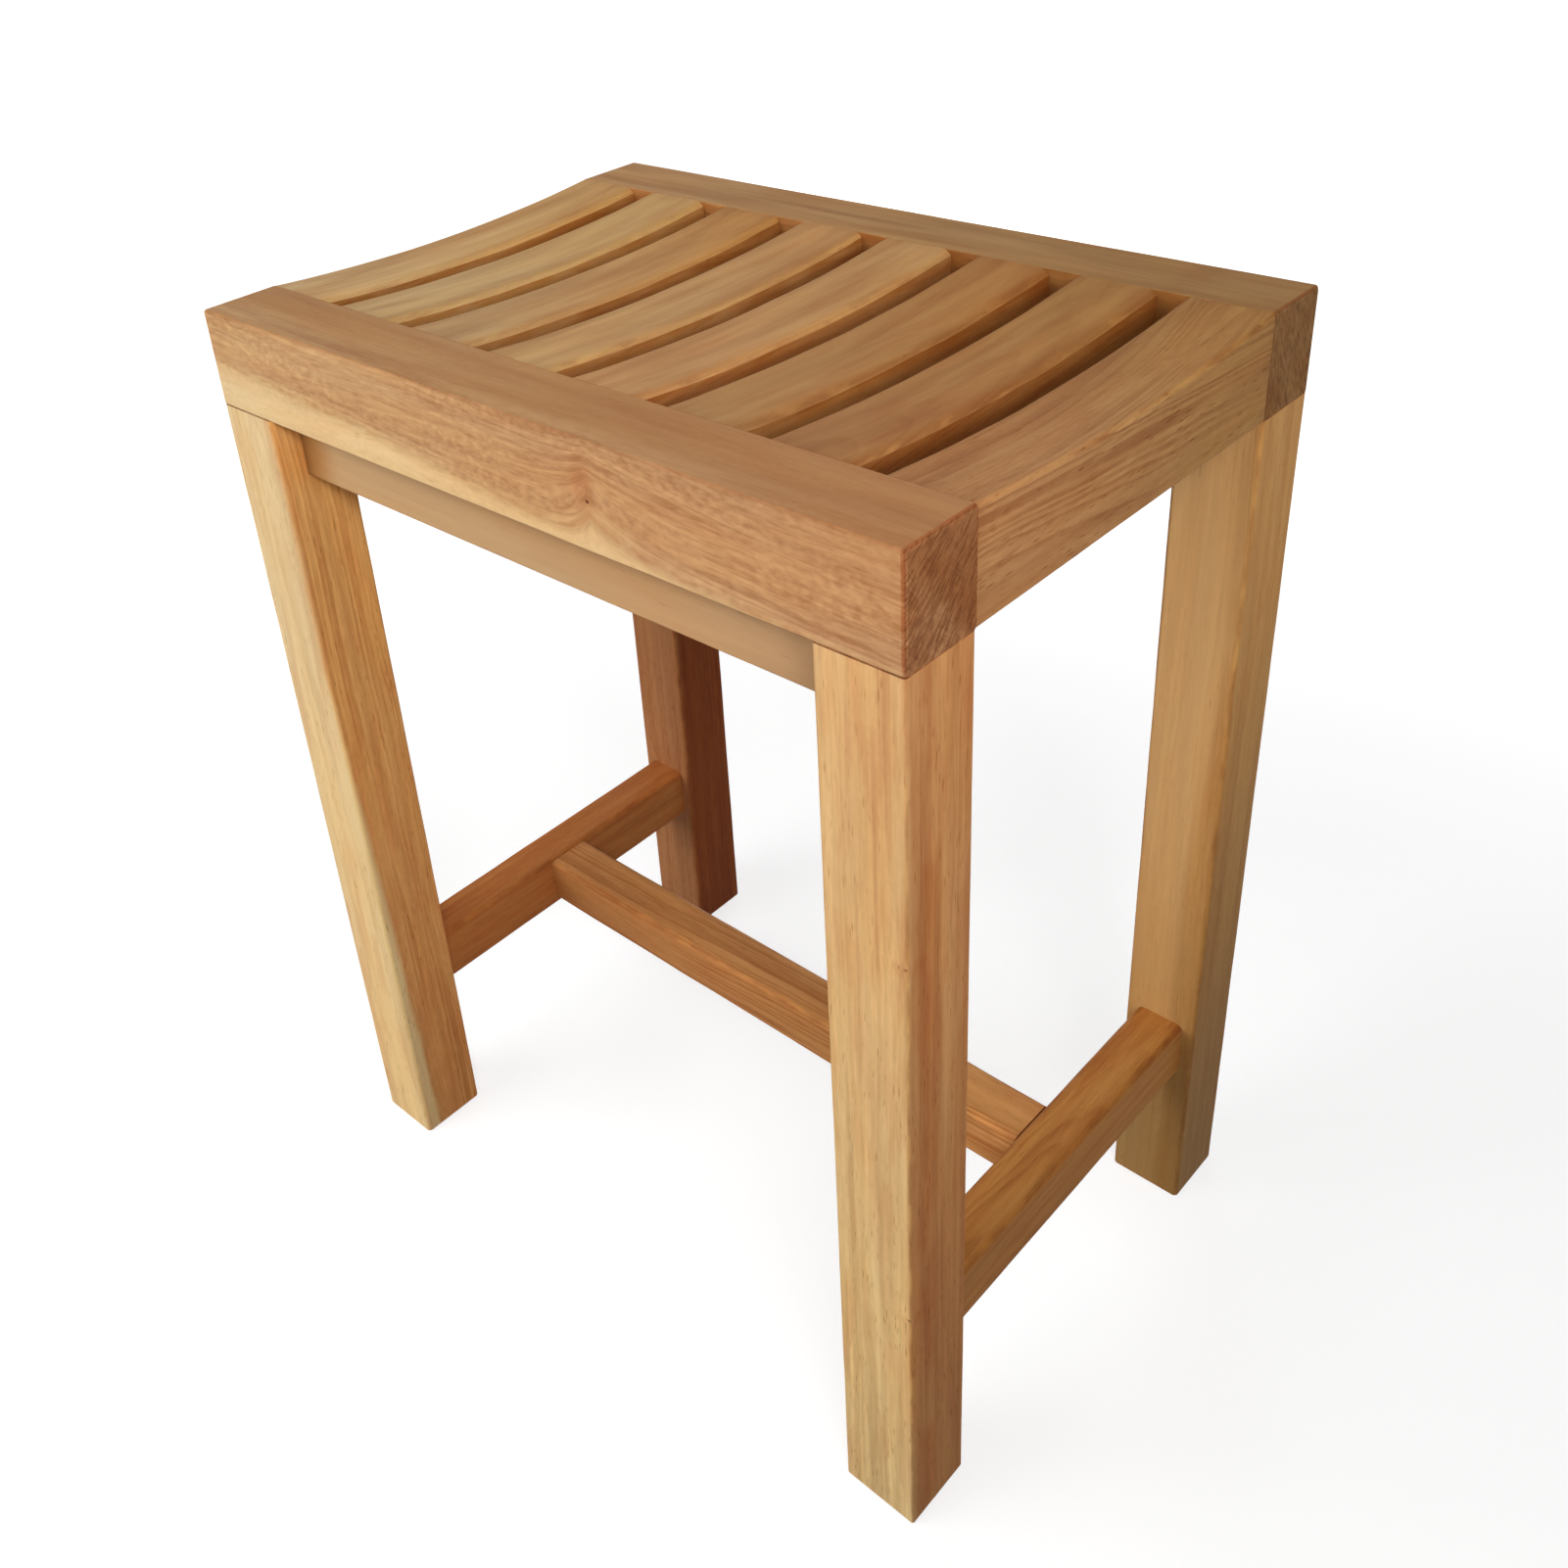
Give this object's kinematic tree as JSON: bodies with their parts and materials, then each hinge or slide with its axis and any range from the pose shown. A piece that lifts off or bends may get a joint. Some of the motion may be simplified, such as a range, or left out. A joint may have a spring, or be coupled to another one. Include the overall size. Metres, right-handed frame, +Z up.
{
  "type": "shower bench",
  "caption": "Free-standing slatted shower bench in oiled teak: dished seat with drain slots, straight square legs, aprons and an H-shaped stretcher.",
  "frame": {"origin": "on the floor, under the middle of the seat", "axes": "+X along the long rails to the right, +Y from the front to the back, +Z up"},
  "size_m": [0.35, 0.245, 0.45],
  "materials": {
    "rail_teak": "oiled teak, satin",
    "end_rail_teak": "oiled teak, satin",
    "slat_teak": "oiled teak, satin",
    "leg_teak": "oiled teak, satin",
    "apron_teak": "oiled teak, satin",
    "stretcher_teak": "oiled teak, satin",
    "dowel_beech": "bare beech"
  },
  "bodies": {
    "root": {"front_rail": "rail_teak", "rear_rail": "rail_teak", "left_end_rail": "end_rail_teak", "right_end_rail": "end_rail_teak", "slat_1": "slat_teak", "slat_2": "slat_teak", "slat_3": "slat_teak", "slat_4": "slat_teak", "slat_5": "slat_teak", "slat_6": "slat_teak", "front_left_leg": "leg_teak", "front_right_leg": "leg_teak", "rear_left_leg": "leg_teak", "rear_right_leg": "leg_teak", "front_apron": "apron_teak", "rear_apron": "apron_teak", "left_stretcher": "stretcher_teak", "right_stretcher": "stretcher_teak", "centre_stretcher": "stretcher_teak", "slat_dowels": "dowel_beech", "end_rail_dowels": "dowel_beech", "leg_dowels": "dowel_beech", "apron_dowels": "dowel_beech", "end_stretcher_dowels": "dowel_beech", "centre_stretcher_dowels": "dowel_beech"}
  },
  "joints": []
}
